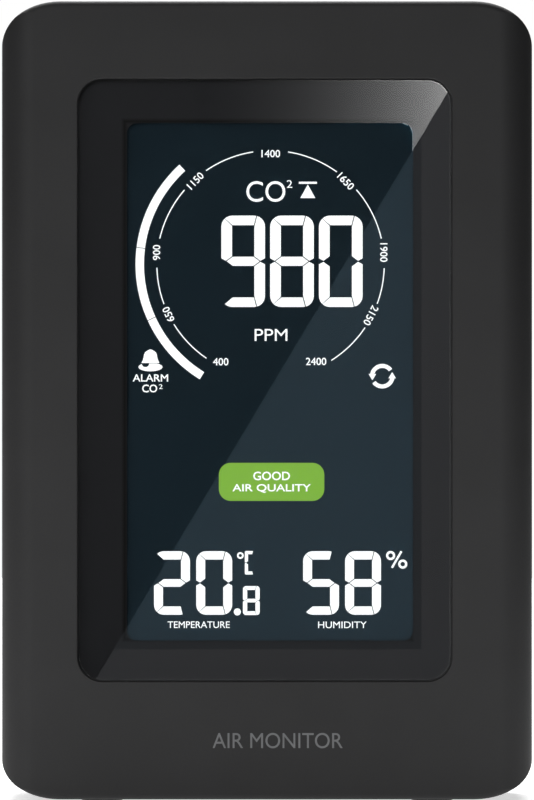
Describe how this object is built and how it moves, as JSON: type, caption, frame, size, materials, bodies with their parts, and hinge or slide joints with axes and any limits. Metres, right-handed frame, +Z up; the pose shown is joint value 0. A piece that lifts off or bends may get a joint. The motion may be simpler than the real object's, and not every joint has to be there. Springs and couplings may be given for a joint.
{
  "type": "carbon dioxide monitor",
  "caption": "Upright desk air-quality monitor with a tall display window, rear keys, a fold-out stand, a wall keyhole and a side charging socket.",
  "frame": {"origin": "middle of the footprint, on the surface that the feet stand on", "axes": "+Z up, the face looks along -Y, +X to the viewer's right"},
  "size_m": [0.09, 0.028, 0.1353],
  "materials": {
    "case_black": "soft-touch matt black",
    "case_rear": "fine-textured matt black",
    "clear_acrylic": "clear hard-coated acrylic",
    "mask_ink": "gloss black printed film",
    "foam_tape": "black foam tape",
    "polariser_film": "dark polariser film",
    "lcd_glass": "thin float glass",
    "diffuser_film": "matt white film",
    "guide_acrylic": "moulded light guide",
    "led_yellow": "phosphor lamp",
    "white_nylon": "white moulding",
    "zebra_rubber": "pink-brown elastomer",
    "board_green": "green solder mask",
    "board_black": "black solder mask",
    "chip_black": "epoxy package",
    "sensor_shell": "gold-plated chamber",
    "membrane_white": "white filter membrane",
    "pin_gold": "gilt pins",
    "cell_silver": "laminated pouch",
    "pad_grey": "foam pad",
    "lead_red": "wire sleeve",
    "plug_cream": "cream nylon",
    "usb_steel": "plated shell",
    "usb_black": "black insulator",
    "switch_plastic": "black moulding",
    "key_grey": "dark grey moulding",
    "slider_grey": "dark grey moulding",
    "ribbon_white": "flat flex",
    "screen_mesh": "black nylon mesh",
    "screw_steel": "blackened steel",
    "pin_steel": "bright steel",
    "stand_black": "fine-textured matt black",
    "foot_rubber": "soft black rubber"
  },
  "bodies": {
    "housing": {"front_housing": "case_black", "rear_housing": "case_rear", "display_window": "clear_acrylic", "window_mask": "mask_ink", "window_tape": "foam_tape", "front_polariser": "polariser_film", "rear_polariser": "polariser_film", "lcd_front_glass": "lcd_glass", "lcd_rear_glass": "lcd_glass", "backlight_diffuser": "diffuser_film", "backlight_guide": "guide_acrylic", "backlight_reflector": "diffuser_film", "backlight_leds": "led_yellow", "lcd_holder": "white_nylon", "zebra_strip": "zebra_rubber", "main_board": "board_green", "board_screws": "screw_steel", "microcontroller": "chip_black", "board_parts": "chip_black", "buzzer": "chip_black", "climate_sensor": "chip_black", "sensor_board": "board_black", "sensor_chamber": "sensor_shell", "sensor_membrane": "membrane_white", "sensor_pins": "pin_gold", "battery_pack": "cell_silver", "battery_pad": "pad_grey", "battery_lead": "lead_red", "battery_connector": "plug_cream", "usb_shell": "usb_steel", "usb_tongue": "usb_black", "key_board": "board_green", "key_switches": "switch_plastic", "power_switch": "switch_plastic", "ribbon_connector": "plug_cream", "key_ribbon": "ribbon_white", "dust_screens": "screen_mesh", "housing_screws": "screw_steel", "stand_pins": "pin_steel", "rubber_feet": "foot_rubber"},
    "stand": {"fold_stand": "stand_black", "stand_pad": "foot_rubber"},
    "power_slider": {"power_slider": "slider_grey"},
    "mode_key": {"key_mode": "key_grey", "plunger_mode": "switch_plastic"},
    "up_key": {"key_up": "key_grey", "plunger_up": "switch_plastic"},
    "down_key": {"key_down": "key_grey", "plunger_down": "switch_plastic"},
    "set_key": {"key_set": "key_grey", "plunger_set": "switch_plastic"}
  },
  "joints": [
    {"name": "stand_hinge", "type": "hinge", "parent": "housing", "child": "stand", "pos_m": [0, 0.0122, 0.0667], "axis": [1, 0, 0], "range_deg": [0, 35]},
    {"name": "mode_press", "type": "slide", "parent": "housing", "child": "mode_key", "axis": [0, -1, 0], "range_m": [0, 0.0005], "stiffness_N_per_m": 800, "springref_m": -0.0003},
    {"name": "up_press", "type": "slide", "parent": "housing", "child": "up_key", "axis": [0, -1, 0], "range_m": [0, 0.0005], "stiffness_N_per_m": 800, "springref_m": -0.0003},
    {"name": "down_press", "type": "slide", "parent": "housing", "child": "down_key", "axis": [0, -1, 0], "range_m": [0, 0.0005], "stiffness_N_per_m": 800, "springref_m": -0.0003},
    {"name": "set_press", "type": "slide", "parent": "housing", "child": "set_key", "axis": [0, -1, 0], "range_m": [0, 0.0005], "stiffness_N_per_m": 800, "springref_m": -0.0003},
    {"name": "power_slide", "type": "slide", "parent": "housing", "child": "power_slider", "axis": [1, 0, 0], "range_m": [-0.002, 0]}
  ]
}
